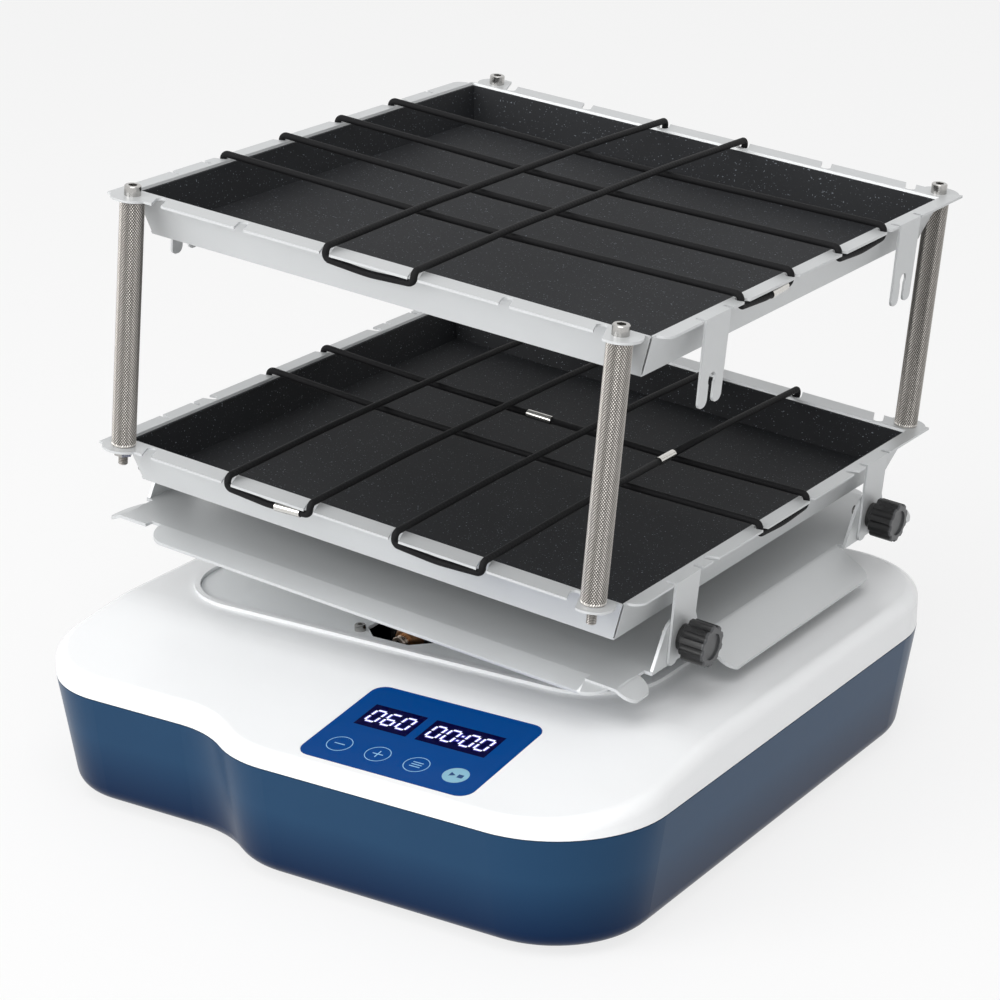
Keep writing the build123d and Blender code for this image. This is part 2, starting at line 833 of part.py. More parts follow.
# Rocking arms: hub on the pivot, wide flange bolted under the carrier, forked lever on the front one.
def build_arm(with_lever):
    top_edge = Pos(0, carrier_bottom) * Rectangle(arm_web_width, 0.02, align=(Align.CENTER, Align.MAX))
    hub = Circle(arm_hub_radius)
    web = make_hull((top_edge + hub).edges())
    face = web
    if with_lever:
        lever = Pos(0, -lever_end) * Rectangle(
            2 * lever_half_width, lever_end, align=(Align.CENTER, Align.MIN))
        face = web + fillet(lever.vertices().sort_by(Axis.Y)[:2], lever_corner_radius)
        slot_half = crank_bearing_radius + slot_side_play
        slot_top = crank_radius + pedestal_gap - lever_length
        face -= Pos(0, slot_top) * Circle(slot_half)
        face -= Pos(0, slot_top) * Rectangle(2 * slot_half, lever_end, align=(Align.CENTER, Align.MAX))
    back_plane = Plane(origin=(0, arm_back, 0), x_dir=(1, 0, 0), z_dir=front)
    upright = extrude(back_plane * face, arm_thickness)
    half = arm_flange_width / 2
    flange_y = (arm_front, arm_front + arm_flange_depth)
    flange = block((-half, half), flange_y, (carrier_bottom - flange_thickness, carrier_bottom))
    body = upright + flange
    body -= rod((0, arm_front, 0), rearward, pin_radius + bushing_wall, arm_thickness)
    for x, y in arm_screw_points:
        start = (x, y, carrier_bottom - flange_thickness)
        body -= rod(start, (0, 0, 1), m5_radius + fit_play, flange_thickness)
    return body


arm_screw_x = arm_flange_width / 2 - screw_inset
arm_screw_y = arm_front + arm_flange_depth - screw_inset
arm_screw_points = [(-arm_screw_x, arm_screw_y), (arm_screw_x, arm_screw_y)]


def build_bushing():
    bore = pin_radius + shaft_play
    sleeve = tube((0, arm_front, 0), rearward, pin_radius + bushing_wall - fit_play, bore, arm_thickness)
    return sleeve + tube((0, flange_front, 0), rearward, bushing_flange_radius, bore, bushing_flange)


arm_grip = carrier_sheet + flange_thickness
arm_screws = [m5_screw((x, y, carrier_top), (0, 0, -1), arm_grip) for x, y in arm_screw_points]
save("front_arm", platform * build_arm(True))
save("rear_arm", platform * half_turn * build_arm(False))
save("pivot_bushings", platform * build_bushing(), platform * half_turn * build_bushing())
save("arm_screws", *[platform * turn * screw for turn in (Rot(), half_turn) for screw in arm_screws])

# Carrier: sheet plate with bent-down side lips, corner lobes and front lips, and four upright ears.
bend_start = carrier_half_x - bend_setback
plan_low = bend_start - bend_overlap
side_reach = carrier_half_x + side_lip_reach
plan_height = 2 * carrier_top


def bent_section(bend_at, reach, edge_height):
    """Section of the sheet that runs level, then bends down to its edge."""
    middle = carrier_top - carrier_sheet / 2
    path = FilletPolyline(
        (bend_at - bend_overlap, middle), (bend_at, middle), (reach, edge_height), radius=bend_radius)
    return trace(path, carrier_sheet)


def side_strip(y_low, y_high):
    """Bent-down strip along the right side between two Y values, its outer corners rounded."""
    section = Plane(origin=(0, y_high, 0), x_dir=(1, 0, 0), z_dir=front) * bent_section(
        bend_start, side_reach, carrier_top - side_lip_drop)
    strip = extrude(section, y_high - y_low)
    plan = Pos(plan_low, (y_low + y_high) / 2) * Rectangle(
        side_reach - plan_low, y_high - y_low, align=(Align.MIN, Align.CENTER))
    plan = fillet(plan.vertices().sort_by(Axis.X)[2:], side_lip_round)
    return strip & extrude(plan, plan_height)


def front_strip():
    """Shallow bent-down lip along the front edge, its ends rounded."""
    left = front_lip_left_gap - carrier_half_x
    right = carrier_half_x - front_lip_right_gap
    bend_at = carrier_half_y - front_lip_setback
    reach = carrier_half_y + front_lip_reach
    section = Plane(origin=(right, 0, 0), x_dir=(0, -1, 0), z_dir=(-1, 0, 0)) * bent_section(
        bend_at, reach, carrier_top - front_lip_drop)
    strip = extrude(section, right - left)
    plan_high = bend_overlap - bend_at
    plan = Pos((left + right) / 2, plan_high) * Rectangle(
        right - left, reach + plan_high, align=(Align.CENTER, Align.MAX))
    plan = fillet(plan.vertices().sort_by(Axis.Y)[:2], front_lip_round)
    return strip & extrude(plan, plan_height)


def ear(y):
    """Upright ear on the right side, tapering to a rounded top, with the stud hole."""
    top = stud_height + ear_above_stud
    face = make_face(Polyline(
        (y - ear_root / 2, carrier_bottom), (y + ear_root / 2, carrier_bottom),
        (y + ear_top_width / 2, top), (y - ear_top_width / 2, top), close=True))
    face = fillet(face.vertices().sort_by(Axis.Y)[2:], ear_round)
    face -= Pos(y, stud_height) * Circle(m6_radius + hole_play)
    side = Plane(origin=(carrier_half_x, 0, 0), x_dir=(0, 1, 0), z_dir=(1, 0, 0))
    return extrude(side * face, -carrier_sheet)


def build_carrier():
    lobe_outer = carrier_half_y + lobe_past_edge
    lobe_inner = lobe_outer - lobe_width
    flat = Rectangle(2 * bend_start, 2 * (carrier_half_y - front_lip_setback))
    flat = fillet(flat.vertices(), carrier_corner_radius)
    body = Pos(0, 0, carrier_bottom) * extrude(flat, carrier_sheet)
    pieces = [side_strip(-side_lip_length / 2, side_lip_length / 2), front_strip()]
    pieces += [side_strip(-lobe_outer, -lobe_inner), side_strip(lobe_inner, lobe_outer)]
    for y in (-leg_spacing, leg_spacing):
        root_x = (bend_start - carrier_sheet, carrier_half_x)
        root_y = (y - ear_root / 2, y + ear_root / 2)
        pieces += [ear(y), block(root_x, root_y, (carrier_bottom, carrier_top))]
    for piece in pieces:
        body += piece
        body += half_turn * piece
    for x, y in arm_screw_points:
        for hole_y in (y, -y):
            start = (x, hole_y - tray_center_y, carrier_bottom)
            body -= rod(start, (0, 0, 1), m5_radius + hole_play, carrier_sheet)
    return body


carrier_place = platform * Pos(0, tray_center_y, 0)
nut_face = carrier_half_x - carrier_sheet
ear_nuts = [
    m6_hex_nut((side * nut_face, y, stud_height), (-side, 0, 0), m6_radius + shaft_play)
    for side in (1, -1) for y in (-leg_spacing, leg_spacing)]
save("carrier_plate", carrier_place * build_carrier())
save("ear_nuts", *[carrier_place * nut for nut in ear_nuts])



# Trays: folded sheet pan with flanges, notches for the loops, post tabs and four hanging legs.
front_posts = [(post_x_left, -post_y), (post_x_right, -post_y)]
post_points = front_posts + [(-x, -y) for x, y in front_posts]


def pan_block(inset, top, depth):
    """Tapered block of the pan form, drawn in by an inset and hung from a top height."""
    slope = wall_inset / tray_depth
    rim_x = rim_half_x - inset + top * slope
    rim_y = rim_half_y - inset + top * slope
    upper = Pos(0, 0, top) * Rectangle(2 * rim_x, 2 * rim_y)
    drop = depth * slope
    lower = Pos(0, 0, top - depth) * Rectangle(2 * (rim_x - drop), 2 * (rim_y - drop))
    return loft([upper, lower], ruled=True)


def flange_face():
    """Plan of half the flange: the front edge with both post tabs and the right edge."""
    face = Rectangle(2 * rim_half_x, 2 * rim_half_y)
    face += Pos((post_x_left + post_x_right) / 2, -(rim_half_y + end_flange_y) / 2) * Rectangle(
        post_x_right - post_x_left, end_flange_width)
    for x in (post_x_left, post_x_right):
        face += Pos(x, -post_y) * Circle(post_tab_radius)
    edge_low = flange_end_gap - rim_half_y
    edge_high = rim_half_y + flange_end_past
    strip = Pos(rim_half_x - side_flange_width, (edge_low + edge_high) / 2) * Rectangle(
        2 * side_flange_width, edge_high - edge_low, align=(Align.MIN, Align.CENTER))
    outer = strip.vertices().sort_by(Axis.X)[2:].sort_by(Axis.Y)
    strip = fillet(outer[0], 0.95 * side_flange_width)
    return face + strip


def slanted_notch(flange_width):
    """Slit from past the flange edge, at the origin, to its floor, its axis through the cord."""
    reach = flange_width - notch_floor
    length = 2 * reach / cos(radians(notch_slant))
    shift = cord_setback * tan(radians(notch_slant))
    return Pos(0, shift) * SlotOverall(length, notch_width, rotation=notch_slant)


def notch_face():
    """Notches of half the flange: six along the front and four along the right side."""
    end_notch = Rot(0, 0, -90) * slanted_notch(end_flange_width)
    side_notch = slanted_notch(side_flange_width)
    relief = SlotOverall(2 * relief_depth, relief_width)
    relief_offset = leg_width / 2 + relief_width / 2
    cuts = Sketch()
    for count in (-2.5, -1.5, -0.5, 0.5, 1.5, 2.5):
        cuts += Pos(count * notch_pitch, -end_flange_y) * end_notch
    for count in (-1.5, -0.5, 0.5, 1.5):
        cuts += Pos(side_flange_x, count * notch_pitch) * side_notch
    for y in (-leg_spacing, leg_spacing):
        for side in (-1, 1):
            cuts += Pos(side_flange_x, y + side * relief_offset) * relief
    return cuts


def leg(y):
    """Leg hanging from the right flange, with an eye that opens between two rounded tines."""
    face = make_face(Polyline(
        (y - leg_width / 2, 0), (y + leg_width / 2, 0), (y + leg_tip_width / 2, -leg_length),
        (y - leg_tip_width / 2, -leg_length), close=True))
    face -= Pos(y, -leg_slot_center) * Circle(leg_eye_radius)
    face -= Pos(y, -leg_slot_center) * Rectangle(
        leg_slot_width, leg_length, align=(Align.CENTER, Align.MAX))
    tips = face.vertices().group_by(Axis.Y)[0]
    face = fillet(tips, leg_tip_radius)
    outside = Plane(origin=(side_flange_x, 0, 0), x_dir=(0, 1, 0), z_dir=(1, 0, 0))
    return extrude(outside * face, -tray_sheet)


def corner_slits():
    """Open seams where the folded walls of the pan meet at its four corners."""
    slits = []
    reach = wall_inset + tray_sheet + corner_slit
    for x_side, y_side in ((1, 1), (1, -1), (-1, 1), (-1, -1)):
        slit = Box(2 * reach, corner_slit, tray_depth, align=bottom_centered)
        corner = Pos(x_side * rim_half_x, y_side * rim_half_y, tray_sheet - tray_depth)
        slits.append(corner * Rot(0, 0, 45 * x_side * y_side) * slit)
    return slits


def build_tray():
    both = flange_face()
    both += Rot(0, 0, 180) * flange_face()
    both -= notch_face()
    both -= Rot(0, 0, 180) * notch_face()
    body = pan_block(-tray_sheet, 0, tray_depth)
    for slit in corner_slits():
        body -= slit
    body += Pos(0, 0, -tray_sheet) * extrude(both, tray_sheet)
    body -= pan_block(0, tray_sheet, tray_depth)
    for y in (-leg_spacing, leg_spacing):
        body += leg(y)
        body += half_turn * leg(y)
    for x, y in post_points:
        body -= rod((x, y, -tray_sheet), (0, 0, 1), m6_radius + hole_play, tray_sheet)
    return body


def build_liner():
    depth = tray_depth - tray_sheet - liner_gap - liner_drop
    hollow = pan_block(liner_gap + liner_sheet, 0, depth - liner_sheet + liner_drop)
    return pan_block(liner_gap, -liner_drop, depth) - hollow


lower_place = platform * Pos(0, tray_center_y, lower_flange_height)
upper_place = lower_place * Pos(0, 0, tier_spacing)
tray = build_tray()
liner = build_liner()
save("lower_tray", lower_place * tray)
save("upper_tray", upper_place * tray)
save("lower_tray_liner", lower_place * liner)
save("upper_tray_liner", upper_place * liner)

# Posts between the trays, with a screw on top and a stud and nut below.
post_length = tier_spacing - tray_sheet
thread_depth = 14
stud_below = 11
nut_points = [point for point in post_points if point != (post_x_right, -post_y)]


def build_post(x, y):
    body = rod((x, y, 0), (0, 0, 1), post_radius, post_length)
    body = chamfer(body.edges().filter_by(GeomType.CIRCLE), post_chamfer)
    body -= rod((x, y, 0), (0, 0, 1), m6_radius + fit_play, thread_depth)
    return body - rod((x, y, post_length - thread_depth), (0, 0, 1), m6_radius + fit_play, thread_depth)


def build_post_screw(x, y):
    length = tray_sheet + thread_depth - thread_end_gap
    return m6_screw((x, y, tier_spacing), (0, 0, -1), length)


def build_post_stud(x, y):
    start = -tray_sheet - stud_below
    return rod((x, y, start), (0, 0, 1), m6_radius, thread_depth - thread_end_gap - start)


def build_post_nut(x, y):
    return m6_hex_nut((x, y, -tray_sheet), (0, 0, -1), m6_radius + fit_play)


save("tray_posts", *[lower_place * build_post(x, y) for x, y in post_points])
save("post_screws", *[lower_place * build_post_screw(x, y) for x, y in post_points])
save("post_studs", *[lower_place * build_post_stud(x, y) for x, y in post_points])
save("post_nuts", *[lower_place * build_post_nut(x, y) for x, y in nut_points])


# Clamp knobs: fluted head on a stud that passes the leg slot and screws into the nut behind the ear.
knob_inner = side_flange_x + knob_play
knob_outer = knob_inner + knob_hub_length + knob_length
stud_start = carrier_half_x - carrier_sheet - stud_tail


def build_knob():
    """Knob on the right side, its axis along X and its inner face beside the leg."""
    hub_end = knob_inner + knob_hub_length
    body = rod((hub_end, 0, 0), (1, 0, 0), knob_radius, knob_length)
    place = knob_radius + flute_offset * flute_radius
    for count in range(knob_flutes):
        angle = radians(count * 360 / knob_flutes)
        flute_start = (hub_end, place * cos(angle), place * sin(angle))
        body -= rod(flute_start, (1, 0, 0), flute_radius, knob_length)
    ends = body.faces().sort_by(Axis.X)
    rims = ends[0].edges() + ends[-1].edges()
    body = chamfer(rims, knob_chamfer)
    body += rod((knob_inner, 0, 0), (1, 0, 0), knob_hub_radius, knob_hub_length)
    body -= rod((knob_outer - knob_dish, 0, 0), (1, 0, 0), knob_radius - knob_rim, knob_dish)
    return body - rod((knob_inner, 0, 0), (1, 0, 0), m6_radius + fit_play, knob_thread)


def build_stud():
    return rod((stud_start, 0, 0), (1, 0, 0), m6_radius, knob_inner + knob_thread - stud_start)


knob = build_knob()
stud = build_stud()
for name, y, turn in (
        ("front_right", -leg_spacing, 0), ("rear_right", leg_spacing, 0),
        ("front_left", leg_spacing, 180), ("rear_left", -leg_spacing, 180)):
    place = carrier_place * Rot(0, 0, turn) * Pos(0, y, stud_height)
    save(f"knob_{name}", place * knob)
    save(f"knob_stud_{name}", place * stud)


# Elastic loops: each lies over the tray between opposite notches and passes under the flange outside.
over = cord_radius + cord_lift
under = -tray_sheet - cord_radius - cord_lift
turn_radius = (over - under) * turn_share
side_run = side_flange_x - cord_setback
end_run = end_flange_y - cord_setback
near_notch = notch_pitch / 2
far_notch = 1.5 * notch_pitch


def cord_radii(points):
    """One radius for each corner: tight round the flange edges, wide where a cord sags or dips."""
    radii = []
    for before, here, after in zip(points, points[1:], points[2:]):
        coming = Vector(*here) - Vector(*before)
        going = Vector(*after) - Vector(*here)
        turn = coming.get_angle(going)
        wide = bend_share * min(coming.length, going.length) / tan(radians(turn / 2))
        radii.append(turn_radius if turn > 45 else wide)
    return radii


def loop_along_x(y_a, y_b, dip, ferrule_at):
    """Points of a loop over the notches at two Y values, low between -dip and dip where others cross it."""
    low = over - crossing_drop
    middle = (y_a + y_b) / 2
    right = [
        (side_run, y_a, over), (side_run, y_a, under), (side_run, middle, under - run_sag),
        (side_run, y_b, under), (side_run, y_b, over)]
    back = [(dip, y_b, low), (-dip, y_b, low)]
    left = [(-x, y, z) for x, y, z in reversed(right)]
    ahead = [(-dip, y_a, low), (dip, y_a, low)]
    return start_at(right + back + left + ahead, ferrule_at)


def loop_along_y(x_a, x_b, ferrule_at):
    """Points of a loop over the notches at two X values, high where it crosses others."""
    high = over + crossing_lift
    middle = (x_a + x_b) / 2
    rear = [
        (x_a, end_run, over), (x_a, end_run, under), (middle, end_run, under - run_sag),
        (x_b, end_run, under), (x_b, end_run, over)]
    ahead = [(x_b, far_notch, high), (x_b, -far_notch, high)]
    near = [(x, -y, z) for x, y, z in reversed(rear)]
    away = [(x_a, -far_notch, high), (x_a, far_notch, high)]
    return start_at(rear + ahead + near + away, ferrule_at)


def start_at(points, ferrule):
    """Turn a closed list of points so that it starts and ends on both sides of the ferrule's middle."""
    run, share = ferrule
    turned = points[run + 1:] + points[:run + 1]
    a = Vector(*points[run])
    b = Vector(*points[(run + 1) % len(points)])
    middle = a + (b - a) * share
    along = (b - a).normalized()
    first = middle + along * hole_play
    last = middle - along * hole_play
    return [tuple(first)] + turned + [tuple(last)], middle, along


def build_loop(route, name):
    points, middle, along = route
    radii = cord_radii(points)
    path = FilletPolyline(*points, radius=radii)
    cord = sweep(Plane(origin=path @ 0, z_dir=path % 0) * Circle(cord_radius), path=path)
    expected = pi * cord_radius ** 2 * path.length
    print(name, "radii", [round(radius, 1) for radius in radii])
    print(name, "length", round(path.length, 1), "volume ratio", round(cord.volume / expected, 4))
    start = middle - along * ferrule_length / 2
    sleeve = tube(start, along, ferrule_radius, cord_radius + fit_play, ferrule_length)
    return cord, sleeve


upper_loops = (
    ("upper_loop_front", loop_along_x(-far_notch, -near_notch, near_notch, (2, 0.5))),
    ("upper_loop_rear", loop_along_x(near_notch, far_notch, near_notch, (8, 0.5))),
    ("upper_loop_middle", loop_along_y(-near_notch, near_notch, (2, 0.5))))
lower_loops = (
    ("lower_loop_left", loop_along_y(-far_notch, -near_notch, (8, 0.5))),
    ("lower_loop_right", loop_along_y(near_notch, far_notch, (5, 0.42))),
    ("lower_loop_middle", loop_along_x(-near_notch, near_notch, far_notch, (5, 0.56))))
loops = [(name, upper_place, route) for name, route in upper_loops]
loops += [(name, lower_place, route) for name, route in lower_loops]
ferrules = []
for name, place, route in loops:
    cord, sleeve = build_loop(route, name)
    save(name, place * cord)
    ferrules.append(place * sleeve)
save("loop_ferrules", *ferrules)
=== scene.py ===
import bmesh
import bpy
from math import atan, atan2, cos, pi, radians, sin, tan
from mathutils import Matrix, Vector


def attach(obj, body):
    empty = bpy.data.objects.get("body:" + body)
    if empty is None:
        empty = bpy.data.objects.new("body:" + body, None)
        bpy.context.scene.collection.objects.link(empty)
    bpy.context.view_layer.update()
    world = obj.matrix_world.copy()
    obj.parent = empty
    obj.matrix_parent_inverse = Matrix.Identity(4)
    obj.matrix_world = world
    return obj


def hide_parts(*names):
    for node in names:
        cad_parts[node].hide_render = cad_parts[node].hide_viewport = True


# Two-tier rocking shaker for the lab bench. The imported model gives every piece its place,
# and all sizes below are in metres.
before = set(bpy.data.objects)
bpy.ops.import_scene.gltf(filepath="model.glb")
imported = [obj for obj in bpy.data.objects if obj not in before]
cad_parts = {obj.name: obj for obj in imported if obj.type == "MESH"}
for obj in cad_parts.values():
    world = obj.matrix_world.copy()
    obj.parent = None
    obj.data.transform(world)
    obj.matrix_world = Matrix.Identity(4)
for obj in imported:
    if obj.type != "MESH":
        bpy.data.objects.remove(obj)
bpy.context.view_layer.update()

# Camera: a long lens to the right of the front, looking a little down on the upper tray.
# The corners of both trays in the photograph gave its place and its focal length.
camera_place = (0.9632, -1.5093, 0.7949)
camera_azimuth = 32.7
camera_elevation = 19.7
camera_data = bpy.data.cameras.new("camera")
camera_data.sensor_width = 36
camera_data.lens = 108.72
camera_data.clip_end = 60
camera = bpy.data.objects.new("camera", camera_data)
camera.location = camera_place
camera.rotation_euler = (radians(90 - camera_elevation), 0, radians(camera_azimuth))
bpy.context.scene.collection.objects.link(camera)
bpy.context.scene.camera = camera
bpy.context.scene.view_settings.view_transform = "Standard"


# Studio: a wide floor of matt white paper that keeps a soft shadow, and a white surround.
# Three large soft lamps: one from the left of the front, one high up, and a low one that fills.
def linear(hex_colour):
    """Linear colour, with alpha, of an sRGB hex value."""
    channels = [int(hex_colour[start:start + 2], 16) / 255 for start in (1, 3, 5)]
    return [c / 12.92 if c <= 0.04045 else ((c + 0.055) / 1.055) ** 2.4 for c in channels] + [1]


def add_node(tree, kind, inputs=None, **settings):
    """Shader node with its settings; each input is set to a value, or linked if it is given a socket."""
    node = tree.nodes.new("ShaderNode" + kind)
    for name, value in settings.items():
        setattr(node, name, value)
    for name, value in (inputs or {}).items():
        if isinstance(value, bpy.types.NodeSocket):
            tree.links.new(value, node.inputs[name])
        else:
            node.inputs[name].default_value = value
    return node


def direct_view(tree):
    """1 for camera, glossy and transmission rays, 0 for the light that falls on the object."""
    path = add_node(tree, "LightPath").outputs
    seen = add_node(
        tree, "Math", {0: path["Is Camera Ray"], 1: path["Is Glossy Ray"]}, operation="MAXIMUM")
    return add_node(
        tree, "Math", {0: seen.outputs[0], 1: path["Is Transmission Ray"]}, operation="MAXIMUM").outputs[0]


floor_reach = 12
floor_glow = 0.78
surround_light = 0.5
surround_seen = 1
floor_shape = bmesh.new()
bmesh.ops.create_grid(floor_shape, x_segments=1, y_segments=1, size=floor_reach)
floor_mesh = bpy.data.meshes.new("floor")
floor_shape.to_mesh(floor_mesh)
floor_shape.free()
floor = bpy.data.objects.new("floor", floor_mesh)
bpy.context.scene.collection.objects.link(floor)
floor_paper = bpy.data.materials.new("matt white paper floor")
floor_paper.use_nodes = True
tree = floor_paper.node_tree
tree.nodes.clear()
paper = add_node(tree, "BsdfDiffuse", {"Color": linear("#F2F2F2")})
glow = add_node(tree, "Emission", {"Color": linear("#FFFFFF"), "Strength": 1})
share = add_node(tree, "Math", {0: direct_view(tree), 1: floor_glow}, operation="MULTIPLY")
blend = add_node(tree, "MixShader", {0: share.outputs[0], 1: paper.outputs[0], 2: glow.outputs[0]})
add_node(tree, "OutputMaterial", {"Surface": blend.outputs[0]})
floor_mesh.materials.append(floor_paper)

world = bpy.data.worlds.new("white surround")
bpy.context.scene.world = world
world.use_nodes = True
tree = world.node_tree
tree.nodes.clear()
around = add_node(tree, "Background", {"Color": linear("#FFFFFF"), "Strength": surround_light})
behind = add_node(tree, "Background", {"Color": linear("#FFFFFF"), "Strength": surround_seen})
blend = add_node(tree, "MixShader", {0: direct_view(tree), 1: around.outputs[0], 2: behind.outputs[0]})
add_node(tree, "OutputWorld", {"Surface": blend.outputs[0]})

lamp_target = Vector((0, 0, 0.15))
for name, place, size, watts in (
        ("key lamp", (-1.3, -2.5, 1.5), 1.8, 42),
        ("top lamp", (0.7, -1.3, 2.6), 2, 28),
        ("fill lamp", (1.1, -2.8, 0.8), 1.6, 18)):
    lamp_data = bpy.data.lights.new(name, "AREA")
    lamp_data.size = size
    lamp_data.energy = watts
    lamp = bpy.data.objects.new(name, lamp_data)
    lamp.location = place
    lamp.rotation_euler = (Vector(place) - lamp_target).to_track_quat("Z", "Y").to_euler()
    bpy.context.scene.collection.objects.link(lamp)


# Lower housing: deep tub, injection-moulded in blue ABS, with walls that lean in to the foot and a front
# that steps back on the left. The polished mould leaves a smooth skin with a faint ripple and a soft
# sheen. Towards the foot the blue is painted darker: painted shade, not a colour of the moulding.
def new_surface(name, colours, cloud, grain, relief, roughness, **constants):
    """Material that drifts between two colours in soft clouds and has a fine grain in relief and gloss.
    cloud and grain are sizes and relief is a depth; roughness is its lowest and highest value."""
    finish = bpy.data.materials.new(name)
    finish.use_nodes = True
    tree = finish.node_tree
    shader = tree.nodes["Principled BSDF"]
    for socket, value in constants.items():
        shader.inputs[socket.replace("_", " ")].default_value = value
    place = add_node(tree, "TexCoord").outputs["Object"]
    clouds = add_node(tree, "TexNoise", {"Vector": place, "Scale": 1 / cloud, "Detail": 3}).outputs[0]
    grains = add_node(tree, "TexNoise", {"Vector": place, "Scale": 1 / grain, "Detail": 2}).outputs[0]
    tint = add_node(
        tree, "Mix", {0: clouds, 6: linear(colours[0]), 7: linear(colours[1])}, data_type="RGBA")
    gloss = add_node(tree, "MapRange", {"Value": grains, "To Min": roughness[0], "To Max": roughness[1]})
    bump = add_node(tree, "Bump", {"Height": grains, "Strength": 1, "Distance": relief})
    tree.links.new(tint.outputs[2], shader.inputs["Base Color"])
    tree.links.new(gloss.outputs[0], shader.inputs["Roughness"])
    tree.links.new(bump.outputs[0], shader.inputs["Normal"])
    return finish


def tint_over(finish, mask, colour):
    """Lay another colour over a finish, as far as its mask says."""
    tree = finish.node_tree
    socket = tree.nodes["Principled BSDF"].inputs["Base Color"]
    ground = socket.links[0].from_socket
    tinted = add_node(tree, "Mix", {0: mask, 6: ground, 7: linear(colour)}, data_type="RGBA")
    tree.links.new(tinted.outputs[2], socket)


def dress(finish, *names):
    """Give CAD nodes their finish."""
    for name in names:
        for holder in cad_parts[name].material_slots:
            holder.material = finish


foot_shade_from = 0.05
foot_shade_full = 0.012
blue_abs = new_surface(
    "polished ABS moulding, blue", ("#1D3E5D", "#224362"), cloud=0.08, grain=0.009, relief=0.000003,
    roughness=(0.27, 0.3), IOR=1.2)
tree = blue_abs.node_tree
place = add_node(tree, "TexCoord").outputs["Object"]
height = add_node(tree, "SeparateXYZ", {"Vector": place}).outputs["Z"]
# Painted shade: below 5 cm the blue is mixed into dark navy, fully at 1.2 cm and lower.
painted_foot_shade = add_node(
    tree, "MapRange", {"Value": height, "From Min": foot_shade_from, "From Max": foot_shade_full})
tint_over(blue_abs, painted_foot_shade.outputs[0], "#042042")
dress(blue_abs, "base_housing")

# Feet: turned black rubber pads, each held by a screw into the chassis plate.
# The rubber is matt, with a dusty fine grain.
foot_rubber = new_surface(
    "moulded rubber, black", ("#1C1C1E", "#262628"), cloud=0.01, grain=0.0006, relief=0.00004,
    roughness=(0.7, 0.85), IOR=1.52)
dress(foot_rubber, "rubber_feet")

# Chassis plate, deck standoffs and power supply case: zinc-plated steel sheet and hexagon bar, which
# stand on the housing's floor. The plating gives a cool grey with a faint bloom.
zinc_steel = new_surface(
    "zinc-plated steel sheet", ("#8F9498", "#A9AEB2"), cloud=0.02, grain=0.001, relief=0.00001,
    roughness=(0.32, 0.5), Metallic=1)
dress(zinc_steel, "chassis_plate", "deck_standoffs", "power_supply")

# Screws, nuts and clamp studs: stainless steel, cold headed, with rolled threads, all through the object.
# They are bright, and their drawing marks show as small changes of gloss.
bright_steel = new_surface(
    "stainless steel, cold headed", ("#9D9C9A", "#C2C0BD"), cloud=0.003, grain=0.0004, relief=0.00001,
    roughness=(0.14, 0.3), Metallic=1)
dress(
    bright_steel, "foot_screws", "cover_screws", "deck_screws", "pedestal_screws", "motor_screws",
    "arm_screws", "post_screws", "post_nuts", "ear_nuts", "knob_stud_front_right", "knob_stud_rear_right",
    "knob_stud_front_left", "knob_stud_rear_left")

# Drive: a motor in a lacquered steel can, with a die-cast gearbox, turns a crank disc of bright steel.
# The crank pin's ball bearing runs in the fork of the front arm and rocks it.
# The casting looks dull and pebbled beside the smooth dark can.
cast_alloy = new_surface(
    "die-cast zinc alloy, shot-blasted", ("#7C7F82", "#8E9194"), cloud=0.01, grain=0.0008, relief=0.00006,
    roughness=(0.5, 0.65), Metallic=1)
motor_can = new_surface(
    "lacquered steel can", ("#33363A", "#3D4145"), cloud=0.02, grain=0.001, relief=0.00001,
    roughness=(0.3, 0.4), IOR=1.5)
dress(cast_alloy, "gearbox")
dress(motor_can, "drive_motor")
dress(bright_steel, "motor_shaft", "crank_disc", "crank_pin", "crank_bearing")

# Pedestals and arms: 8 mm steel plate, cut to shape, blackened and screwed on.
# The black oxide looks nearly black, with an oily sheen, behind the cut-out of the deck.
black_steel = new_surface(
    "black-oxide steel plate", ("#2E2F31", "#3B3C3E"), cloud=0.015, grain=0.0008, relief=0.00002,
    roughness=(0.35, 0.5), Metallic=1)
dress(black_steel, "front_pedestal", "rear_pedestal", "front_arm", "rear_arm")

# Pivots: a ground steel pin through a flanged bushing and a collar of sintered bronze, held by a
# socket-head bolt over a washer. The bronze is brown and grainy, and handling has warmed the steel.
bronze = new_surface(
    "sintered bronze, oiled", ("#7E5A3E", "#A07A58"), cloud=0.004, grain=0.0004, relief=0.00003,
    roughness=(0.35, 0.5), Metallic=1)
warm_steel = new_surface(
    "turned steel, browned by handling", ("#A39486", "#C4B8AC"), cloud=0.004, grain=0.0004, relief=0.00001,
    roughness=(0.2, 0.32), Metallic=1)
dress(bronze, "pivot_bushings", "pivot_collars")
dress(warm_steel, "pivot_pins", "pivot_bolts")
dress(bright_steel, "pivot_washers")

# Power entry: mains inlet, switch bezel and rocker, moulded in glass-filled black nylon and snapped into
# the back wall. The fibres near the surface give it a dry, slightly rough look.
black_nylon = new_surface(
    "glass-filled nylon, black", ("#161617", "#1E1E20"), cloud=0.01, grain=0.0005, relief=0.00002,
    roughness=(0.38, 0.52), IOR=1.53)
dress(black_nylon, "power_inlet", "switch_bezel", "power_switch")

# Control board: epoxy-glass laminate under a green solder mask, screwed under the console.
# The mask looks glossy, and the weave shows through it as a soft mottle.
solder_mask = new_surface(
    "epoxy-glass board, green mask", ("#1C5132", "#23623D"), cloud=0.006, grain=0.0008, relief=0.00002,
    roughness=(0.25, 0.4), IOR=1.5)
dress(solder_mask, "control_board")

